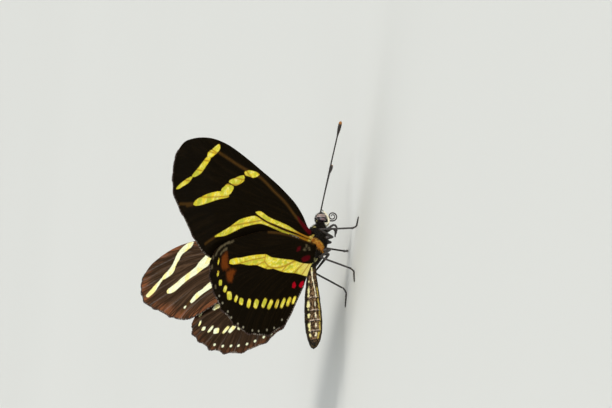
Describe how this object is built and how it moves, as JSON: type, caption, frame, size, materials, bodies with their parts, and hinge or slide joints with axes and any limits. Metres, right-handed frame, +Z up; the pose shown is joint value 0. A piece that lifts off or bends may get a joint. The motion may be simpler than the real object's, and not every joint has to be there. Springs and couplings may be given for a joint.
{
  "type": "zebra longwing butterfly",
  "caption": "Life-size zebra longwing butterfly standing with its long black wings raised in a V, barred and dotted with yellow, with straight antennae and a slender abdomen.",
  "frame": {"origin": "on the ground under the thorax, at the middle of the bounding box's base", "axes": "+Z up, the head faces -Y and the animal's left side is +X"},
  "size_m": [0.0668, 0.0424, 0.0374],
  "materials": {
    "wing": "matt black-brown wing scales with pale yellow bands, crimson spots at the base",
    "body": "black-brown hair and scales with cream spots and an ochre streak",
    "palp": "cream hair",
    "eye": "glossy dark brown with pale bands",
    "legs": "satin black cuticle",
    "antenna": "satin black cuticle, ochre at the club's tip"
  },
  "bodies": {
    "root": {"thorax": "body", "abdomen": "body", "head": "body", "eye_left": "eye", "eye_right": "eye", "antenna_left": "antenna", "antenna_right": "antenna", "palp_left": "palp", "palp_right": "palp", "proboscis": "legs", "forewing_left": "wing", "forewing_right": "wing", "hindwing_left": "wing", "hindwing_right": "wing", "foreleg_left": "legs", "foreleg_right": "legs", "midleg_left_thigh": "legs", "midleg_left_shin": "legs", "midleg_left_foot": "legs", "midleg_right_thigh": "legs", "midleg_right_shin": "legs", "midleg_right_foot": "legs", "hindleg_left_thigh": "legs", "hindleg_left_shin": "legs", "hindleg_left_foot": "legs", "hindleg_right_thigh": "legs", "hindleg_right_shin": "legs", "hindleg_right_foot": "legs"}
  },
  "joints": []
}
